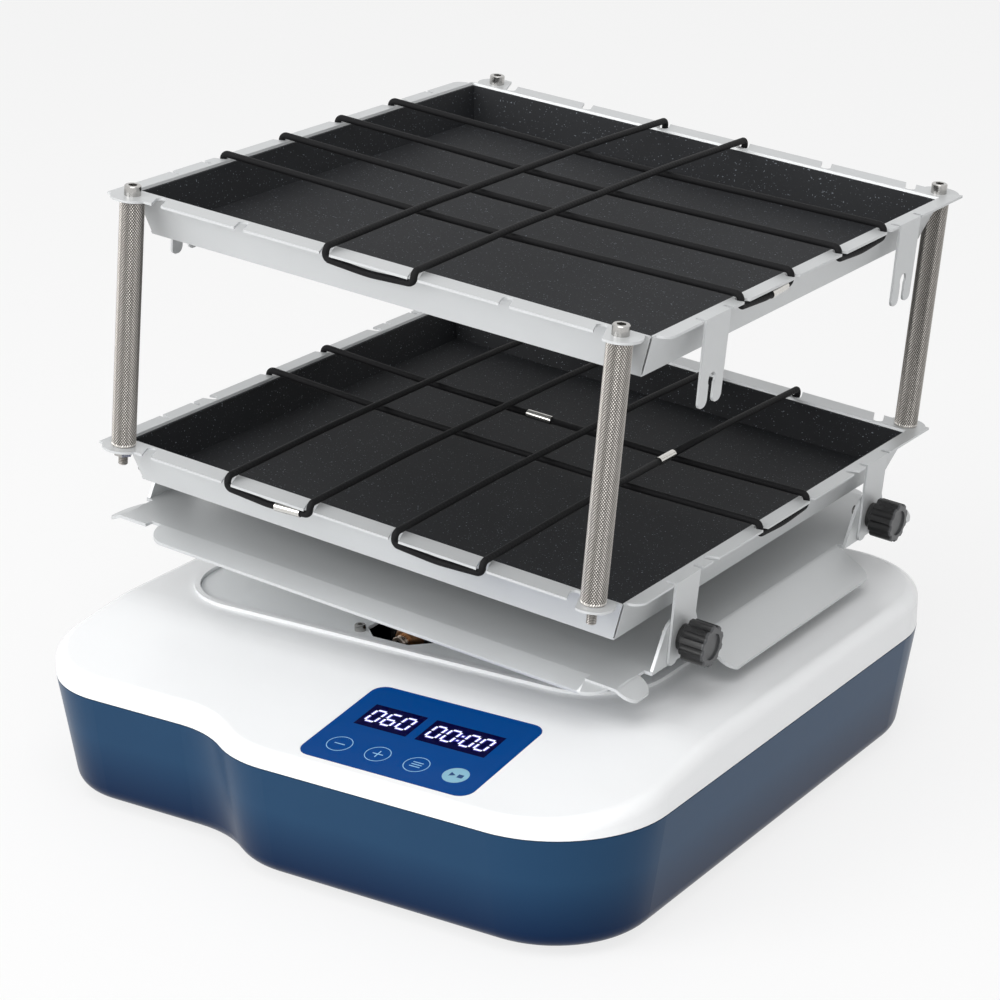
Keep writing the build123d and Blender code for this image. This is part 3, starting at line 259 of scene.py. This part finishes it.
# Top cover: white ABS moulding with soft shoulders, a sloping console and a raised lip round the deck.
# It drops over a tongue on the housing, which leaves the fine dark seam, and screws hold it from below.
# The same polished mould surface as the housing gives it broad, soft reflections.
white_abs = new_surface(
    "polished ABS moulding, white", ("#F3F4F5", "#F6F7F8"), cloud=0.1, grain=0.009, relief=0.000004,
    roughness=(0.22, 0.26), IOR=1.5)
dress(white_abs, "top_cover")

# Deck plate: steel sheet with a cut-out at the front pivot, screwed down inside the white lip.
# Its fine satin powder coat looks pale grey and nearly without a grain.
deck_coat = new_surface(
    "satin powder coat, pale grey", ("#EBEEEF", "#F1F3F4"), cloud=0.06, grain=0.0012, relief=0.00001,
    roughness=(0.4, 0.48), IOR=1.45)
dress(deck_coat, "deck_plate")

# Control panel: polyester film, printed blue on its back face and let into the console, with two smoked
# windows flush with it and black epoxy display modules behind them. The film shows an even colour under
# a clear gloss, and the windows look nearly black.
blue_film = new_surface(
    "polyester film, blue print", ("#013E81", "#02448B"), cloud=0.12, grain=0.01, relief=0.000002,
    roughness=(0.16, 0.2), IOR=1.13)
smoked_lens = new_surface(
    "smoked acrylic lens", ("#01012C", "#02023A"), cloud=0.02, grain=0.01, relief=0.000002,
    roughness=(0.14, 0.18), IOR=1.13)
module_black = new_surface(
    "display module, black epoxy", ("#101012", "#17171A"), cloud=0.01, grain=0.001, relief=0.00001,
    roughness=(0.45, 0.6), IOR=1.5)
dress(blue_film, "control_panel")
dress(smoked_lens, "display_windows")
dress(module_black, "display_modules")


# Touch keys: three printed rings with a minus, a plus and a list sign, and a filled start and stop key.
# The ink is screen-printed on the film: a thin, even, slightly raised layer with a satin gloss.
def finish_piece(name, shape, finish, body):
    """Turn a bmesh into a finished piece that rides on a CAD body and carries its finish."""
    mesh = bpy.data.meshes.new(name)
    shape.to_mesh(mesh)
    shape.free()
    mesh.materials.append(finish)
    piece = bpy.data.objects.new(name, mesh)
    bpy.context.scene.collection.objects.link(piece)
    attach(piece, body)
    return piece


def add_bar(shape, x, y, width, height):
    """Flat bar in the XY plane, round a middle point."""
    made = bmesh.ops.create_grid(shape, x_segments=1, y_segments=1, size=0.5)["verts"]
    bmesh.ops.scale(shape, verts=made, vec=(width, height, 1))
    bmesh.ops.translate(shape, verts=made, vec=(x, y, 0))


def raise_print(shape, place, height):
    """Give flat faces a thickness and put them on their plane."""
    for face in shape.faces:
        if face.normal.z < 0:
            face.normal_flip()
    top = bmesh.ops.extrude_face_region(shape, geom=shape.faces[:])["geom"]
    moved = [item for item in top if isinstance(item, bmesh.types.BMVert)]
    bmesh.ops.translate(shape, verts=moved, vec=(0, 0, height))
    bmesh.ops.recalc_face_normals(shape, faces=shape.faces)
    shape.transform(place)


console_slope = 15 / 123
console_top = 0.102
console_start_y = -0.152
panel_x = 0.084
panel_y = -0.222
panel_height = console_top + (panel_y - console_start_y) * console_slope
panel_place = Matrix.Translation((panel_x, panel_y, panel_height)) @ Matrix.Rotation(
    atan(console_slope), 4, "X")
print_thickness = 0.00005
key_spacing = 0.0262
key_first_x = -0.0393
key_y = -0.0243
key_radius = 0.0078
key_line = 0.00045
ring_steps = 48
sign_width = 0.0068
sign_line = 0.0007
list_spacing = 0.0022
play_radius = 0.0024
play_shift = -0.0026
stop_size = 0.0034
stop_shift = 0.003
minus_x, plus_x, list_x, start_x = (key_first_x + count * key_spacing for count in range(4))
pale_ink = new_surface(
    "screen-printed ink, pale blue", ("#86BEE2", "#93C9EA"), cloud=0.004, grain=0.0005, relief=0.000005,
    roughness=(0.2, 0.28), IOR=1.5)
filled_ink = new_surface(
    "screen-printed ink, grey blue", ("#7FB3C8", "#8ABBD0"), cloud=0.006, grain=0.0005, relief=0.000005,
    roughness=(0.2, 0.28), IOR=1.5)
dark_ink = new_surface(
    "screen-printed ink, dark blue", ("#0B3C70", "#0E447C"), cloud=0.004, grain=0.0005, relief=0.000005,
    roughness=(0.2, 0.28), IOR=1.5)
for name, x in (("minus", minus_x), ("plus", plus_x), ("list", list_x)):
    ring = bmesh.new()
    ends = [ring.verts.new((radius, 0, 0)) for radius in (key_radius - key_line, key_radius)]
    edge = ring.edges.new(ends)
    bmesh.ops.spin(
        ring, geom=[*ends, edge], cent=(0, 0, 0), axis=(0, 0, 1), angle=2 * pi, steps=ring_steps,
        use_merge=True)
    bmesh.ops.translate(ring, verts=ring.verts, vec=(x, key_y, 0))
    raise_print(ring, panel_place, print_thickness)
    finish_piece(f"key_ring_{name}", ring, pale_ink, "base")
signs = bmesh.new()
add_bar(signs, minus_x, key_y, sign_width, sign_line)
add_bar(signs, plus_x, key_y, sign_width, sign_line)
arm_length = (sign_width - sign_line) / 2
for side in (-1, 1):
    add_bar(signs, plus_x, key_y + side * (sign_line + arm_length) / 2, sign_line, arm_length)
for row in (-1, 0, 1):
    add_bar(signs, list_x, key_y + row * list_spacing, sign_width, sign_line)
raise_print(signs, panel_place, print_thickness)
finish_piece("key_signs", signs, pale_ink, "base")
start_disc = bmesh.new()
bmesh.ops.create_circle(start_disc, cap_ends=True, segments=ring_steps, radius=key_radius)
bmesh.ops.translate(start_disc, verts=start_disc.verts, vec=(start_x, key_y, 0))
raise_print(start_disc, panel_place, print_thickness)
finish_piece("key_start_disc", start_disc, filled_ink, "base")
start_signs = bmesh.new()
play_sign = bmesh.ops.create_circle(start_signs, cap_ends=True, segments=3, radius=play_radius)["verts"]
bmesh.ops.rotate(start_signs, verts=play_sign, cent=(0, 0, 0), matrix=Matrix.Rotation(-pi / 2, 3, "Z"))
bmesh.ops.translate(start_signs, verts=play_sign, vec=(start_x + play_shift, key_y, 0))
add_bar(start_signs, start_x + stop_shift, key_y, stop_size, stop_size)
raise_print(start_signs, panel_place @ Matrix.Translation((0, 0, print_thickness)), print_thickness)
finish_piece("key_start_signs", start_signs, dark_ink, "base")

# Display digits: white seven-segment light from the modules, seen through the smoked windows.
# A violet-blue glow is painted round each segment, standing in for the light the windows spread: painted
# light.
digit_width = 0.0066
digit_height = 0.0125
digit_slant = radians(5)
digit_y = 0.0105
segment_width = 0.0013
glow_width = 0.0013
lit_segments = {"0": "abcdef", "6": "acdefg"}
small_window = -0.028
small_step = 0.0104
large_window = 0.0195
large_inner = 0.0063
large_outer = 0.0163
colon_rise = 0.0026
digits = [(small_window + step * small_step, "0" if step else "6") for step in (-1, 0, 1)]
digits += [(large_window + shift, "0") for shift in (-large_outer, -large_inner, large_inner, large_outer)]


def add_segment(shape, x, y, upright, length, width):
    """Six-sided segment with pointed ends."""
    made = bmesh.ops.create_circle(shape, cap_ends=True, segments=6, radius=1)["verts"]
    for vert in made:
        pointed = abs(vert.co.y) < 0.1
        reach = length / 2 if pointed else length / 2 - width / 2
        along = reach if vert.co.x > 0 else -reach
        across = 0 if pointed else (width / 2 if vert.co.y > 0 else -width / 2)
        vert.co = (across, along, 0) if upright else (along, across, 0)
    bmesh.ops.translate(shape, verts=made, vec=(x, y, 0))


def add_digits(shape, width, gap):
    """All lit segments of both windows, slanted as one."""
    half_x = digit_width / 2
    half_y = digit_height / 2
    places = {
        "a": (0, half_y, False), "d": (0, -half_y, False), "g": (0, 0, False),
        "b": (half_x, half_y / 2, True), "c": (half_x, -half_y / 2, True),
        "e": (-half_x, -half_y / 2, True), "f": (-half_x, half_y / 2, True)}
    for x, digit in digits:
        for letter in lit_segments[digit]:
            at_x, at_y, upright = places[letter]
            length = (half_y if upright else digit_width) - gap
            add_segment(shape, x + at_x, at_y, upright, length, width)
    for at_y in (-colon_rise, colon_rise):
        add_bar(shape, large_window, at_y, width, width)
    for vert in shape.verts:
        vert.co.x += vert.co.y * tan(digit_slant)
    bmesh.ops.translate(shape, verts=shape.verts, vec=(0, digit_y, 0))


# The first entry is painted light: a wider glowing band round the segments, for light the windows spread.
for name, colour, strength, width, gap, lift in (
        ("digit_painted_glow", "#2418C0", 0.8, segment_width + glow_width, -0.0006, 0.00002),
        ("digit_light", "#F3F5FF", 1.3, segment_width, 0.0001, 0.0001)):
    light = new_surface(
        name.replace("_", " "), ("#101010", "#141414"), cloud=0.004, grain=0.001, relief=0.000002,
        roughness=(0.3, 0.4), Emission_Color=linear(colour), Emission_Strength=strength)
    shape = bmesh.new()
    add_digits(shape, width, gap)
    raise_print(shape, panel_place @ Matrix.Translation((0, 0, lift)), print_thickness)
    finish_piece(name, shape, light, "base")

# Carrier plate: folded steel sheet that rocks on the two arms, with four upright ears for the clamp studs.
# Its corner lobes are bent down and rounded, and are shown 17 mm shorter than in the solid.
# The satin powder coat, in silver grey, rounds the cut edges and has soft reflections.
silver_coat = new_surface(
    "satin powder coat, silver grey", ("#C6C8C9", "#CED0D1"), cloud=0.06, grain=0.0012, relief=0.00001,
    roughness=(0.36, 0.44), Metallic=0.3)
axis_height = 0.098
rest_tilt = radians(5.5)
tray_center_y = 0.01
platform = Matrix.Translation((0, 0, axis_height)) @ Matrix.Rotation(rest_tilt, 4, "Y")
carrier_place = platform @ Matrix.Translation((0, tray_center_y, 0))
merge_distance = 0.000001
lobe_slope = atan(13 / 26.7)
lobe_trim = 0.017
lobe_inner = 0.155
lobe_round_start = 0.19
carrier_shape = bmesh.new()
carrier_shape.from_mesh(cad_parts["carrier_plate"].data)
bmesh.ops.remove_doubles(carrier_shape, verts=carrier_shape.verts, dist=merge_distance)
bmesh.ops.transform(carrier_shape, matrix=carrier_place.inverted(), verts=carrier_shape.verts)
for side in (-1, 1):
    lobe_ends = [
        vert for vert in carrier_shape.verts
        if side * vert.co.x > lobe_round_start and abs(vert.co.y) > lobe_inner]
    inward = Vector((-side * cos(lobe_slope), 0, sin(lobe_slope)))
    bmesh.ops.translate(carrier_shape, verts=lobe_ends, vec=inward * lobe_trim)
bmesh.ops.transform(carrier_shape, matrix=carrier_place, verts=carrier_shape.verts)
carrier = finish_piece("carrier_sheet", carrier_shape, silver_coat, "carrier")
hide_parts("carrier_plate")

# Trays: two pans folded from one steel sheet each, with notched flanges and four legs that drop over the
# clamp studs. They wear the carrier's satin powder coat, which shows a fine orange peel.
dress(silver_coat, "lower_tray", "upper_tray")

# Clamp knobs: fluted heads moulded in black phenolic round a steel stud, turned down on the tray's legs.
# The flutes stay dark and glossy, and the flat end faces are painted a lighter grey: a painted reflection.
face_start = 0.2026
face_end = 0.2029
knob_black = new_surface(
    "phenolic moulding, black", ("#101011", "#171718"), cloud=0.006, grain=0.0006, relief=0.00001,
    roughness=(0.3, 0.42), IOR=1.5)
tree = knob_black.node_tree
place = add_node(tree, "TexCoord").outputs["Object"]
across = (cos(rest_tilt), 0, -sin(rest_tilt))
reach = add_node(tree, "VectorMath", {0: place, 1: across}, operation="DOT_PRODUCT").outputs["Value"]
level = add_node(tree, "Math", {0: reach, 1: axis_height * sin(rest_tilt)}, operation="ADD")
outward = add_node(tree, "Math", {0: level.outputs[0]}, operation="ABSOLUTE")
# Painted reflection: the flat end faces are mixed to a lighter grey.
painted_face_reflection = add_node(
    tree, "MapRange", {"Value": outward.outputs[0], "From Min": face_start, "From Max": face_end})
tint_over(knob_black, painted_face_reflection.outputs[0], "#444547")
dress(knob_black, "knob_front_right", "knob_rear_right", "knob_front_left", "knob_rear_left")

# Tray liners: black rubber sheet, laid in and folded up the walls to the rim.
# It is matt, with pale mineral flecks, which are drawn about 1 mm wide so that they show.
fleck_size = 0.0011
fleck_from = 0.7
fleck_full = 0.76
liner_rubber = new_surface(
    "rubber sheet, black with pale flecks", ("#17181B", "#1D1F22"), cloud=0.05, grain=0.0007,
    relief=0.00003, roughness=(0.6, 0.75), IOR=1.33)
tree = liner_rubber.node_tree
place = add_node(tree, "TexCoord").outputs["Object"]
specks = add_node(tree, "TexNoise", {"Vector": place, "Scale": 1 / fleck_size, "Detail": 1}).outputs[0]
fleck = add_node(tree, "MapRange", {"Value": specks, "From Min": fleck_from, "From Max": fleck_full})
tint_over(liner_rubber, fleck.outputs[0], "#7E848C")
dress(liner_rubber, "lower_tray_liner", "upper_tray_liner")

# Posts: stainless bar, diamond-knurled from end to end, drilled and tapped for a screw and a stud.
# The knurl's small pyramids sit over grooves that are painted dark: painted shade, not a colour of the
# steel.
# A real one is finer: so that it shows, a diamond is drawn 1.6 by 2.1 mm.
tray_sheet = 0.0015
lower_flange_height = 0.099
tray_place = platform @ Matrix.Translation((0, tray_center_y, lower_flange_height))
front_posts = [(-0.17, -0.19), (0.162, -0.19)]
post_points = front_posts + [(-x, -y) for x, y in front_posts]
post_places = [tray_place @ Matrix.Translation((x, y, 0)) for x, y in post_points]
post_height = 0.157 - tray_sheet
post_radius = 0.0075
post_chamfer = 0.0008
post_steps = 60
knurl_row = 0.00105
knurl_depth = 0.00045


def lathe(shape, profile, steps):
    """Turn a profile of (radius, height) points round the Z axis; its ends lie on the axis."""
    verts = [shape.verts.new((radius, 0, height)) for radius, height in profile]
    edges = [shape.edges.new(pair) for pair in zip(verts, verts[1:])]
    bmesh.ops.spin(
        shape, geom=[*verts, *edges], cent=(0, 0, 0), axis=(0, 0, 1), angle=2 * pi, steps=steps,
        use_merge=True)
    bmesh.ops.remove_doubles(shape, verts=shape.verts, dist=0.00001)
    bmesh.ops.recalc_face_normals(shape, faces=shape.faces)


def copy_to(name, source, places):
    """One mesh that holds a copy of a shape at each place."""
    pattern = bpy.data.meshes.new(name)
    source.to_mesh(pattern)
    source.free()
    together = bmesh.new()
    for place in places:
        before = set(together.verts)
        together.from_mesh(pattern)
        added = [vert for vert in together.verts if vert not in before]
        bmesh.ops.transform(together, matrix=place, verts=added)
    bpy.data.meshes.remove(pattern)
    return together


rows = round((post_height - 2 * post_chamfer) / knurl_row / 2) * 2
pitch = (post_height - 2 * post_chamfer) / rows
sides = [(post_radius, post_chamfer + row * pitch) for row in range(rows + 1)]
top = [(post_radius - post_chamfer, post_height), (0, post_height)]
post_shape = bmesh.new()
lathe(post_shape, [(0, 0), (post_radius - post_chamfer, 0), *sides, *top], post_steps)
# Painted shade: the sunk points of the knurl are marked for a dark tint.
painted_groove_shade = post_shape.verts.layers.float.new("painted_groove_shade")
for vert in post_shape.verts:
    row = round((vert.co.z - post_chamfer) / pitch)
    column = round(atan2(vert.co.y, vert.co.x) / (2 * pi / post_steps))
    if 0 < row < rows and (row + column) % 2:
        vert.co.xy *= 1 - knurl_depth / post_radius
        vert[painted_groove_shade] = 1
bmesh.ops.triangulate(post_shape, faces=post_shape.faces, quad_method="SHORT_EDGE")
knurled_steel = new_surface(
    "stainless bar, rolled profile", ("#C4C0BB", "#DEDAD5"), cloud=0.004, grain=0.0004, relief=0.00001,
    roughness=(0.24, 0.36), Metallic=1)
# Painted shade: dark grey is mixed over the steel wherever the groove mark is set.
groove_shade_mask = add_node(knurled_steel.node_tree, "Attribute", attribute_name="painted_groove_shade").outputs["Fac"]
tint_over(knurled_steel, groove_shade_mask, "#4C4844")
posts = copy_to("tray_posts_knurled", post_shape, post_places)
post_piece = finish_piece("knurled_posts", posts, knurled_steel, "trays")
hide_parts("tray_posts")

# Post studs: M6 threaded rod that joins each post to the lower tray; the front right end is bare, and
# nuts hold the others. The rolled crests are bright over roots painted dark: painted shade.
stud_radius = 0.003
stud_steps = 20
thread_pitch = 0.001
thread_depth = 0.0004
stud_low = -tray_sheet - 0.011
stud_high = 0.012
thread = []
for turn in range(int((stud_high - stud_low) / thread_pitch)):
    thread.append((stud_radius - thread_depth, stud_low + turn * thread_pitch))
    thread.append((stud_radius, stud_low + (turn + 0.5) * thread_pitch))
stud_shape = bmesh.new()
lathe(
    stud_shape, [(0, stud_low), *thread, (stud_radius - thread_depth, stud_high), (0, stud_high)],
    stud_steps)
# Painted shade: the thread roots are marked for the dark groove tint.
painted_groove_shade = stud_shape.verts.layers.float.new("painted_groove_shade")
for vert in stud_shape.verts:
    vert[painted_groove_shade] = vert.co.xy.length < stud_radius - thread_depth / 2
studs = copy_to("post_studs_threaded", stud_shape, post_places)
stud_piece = finish_piece("threaded_studs", studs, knurled_steel, "trays")
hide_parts("post_studs")

# Elastic loops: rubber cord in a braided black polyester sleeve, hooked over the flanges and taut over
# the trays, shown 0.8 mm thinner than their solids. The sleeve is dull, and its crossing strands show as
# small diamonds, drawn coarser than real ones, at 1.6 mm.
cord_slimming = 0.0004
braid_pitch = 0.0016
braid_relief = 0.00008
wave_length_at_1 = 0.314
braided_cord = new_surface(
    "braided polyester sleeve, black", ("#08080A", "#0F0F11"), cloud=0.004, grain=0.0006, relief=0.00002,
    roughness=(0.62, 0.8), IOR=1.3, Sheen_Weight=0.03, Sheen_Roughness=0.4)
tree = braided_cord.node_tree
shader = tree.nodes["Principled BSDF"]
place = add_node(tree, "TexCoord").outputs["Object"]
strands = []
for direction in ((1, 1, 1), (1, -1, 1)):
    turned = add_node(tree, "Mapping", {"Vector": place, "Scale": direction})
    wave = add_node(
        tree, "TexWave", {"Vector": turned.outputs[0], "Scale": wave_length_at_1 / braid_pitch},
        bands_direction="DIAGONAL")
    strands.append(wave.outputs["Fac"])
crossing = add_node(tree, "Math", {0: strands[0], 1: strands[1]}, operation="MAXIMUM")
bump = add_node(tree, "Bump", {"Height": crossing.outputs[0], "Strength": 1, "Distance": braid_relief})
tree.links.new(bump.outputs[0], shader.inputs["Normal"])
for name in (
        "upper_loop_front", "upper_loop_rear", "upper_loop_middle", "lower_loop_left",
        "lower_loop_right", "lower_loop_middle"):
    loop = bmesh.new()
    loop.from_mesh(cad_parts[name].data)
    bmesh.ops.remove_doubles(loop, verts=loop.verts, dist=merge_distance)
    loop.normal_update()
    for vert in loop.verts:
        vert.co -= vert.normal * cord_slimming
    for face in loop.faces:
        face.smooth = True
    cord = finish_piece(name.replace("loop", "cord"), loop, braided_cord, "trays")
    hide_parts(name)

# Ferrules: thin nickel-plated brass sleeves, crimped where the two ends of a loop meet.
# The plating is bright and smooth, a little warmer than steel.
ferrule_plate = new_surface(
    "nickel-plated brass tube", ("#C9C7C2", "#DAD8D4"), cloud=0.003, grain=0.0005, relief=0.00001,
    roughness=(0.14, 0.24), Metallic=1)
dress(ferrule_plate, "loop_ferrules")
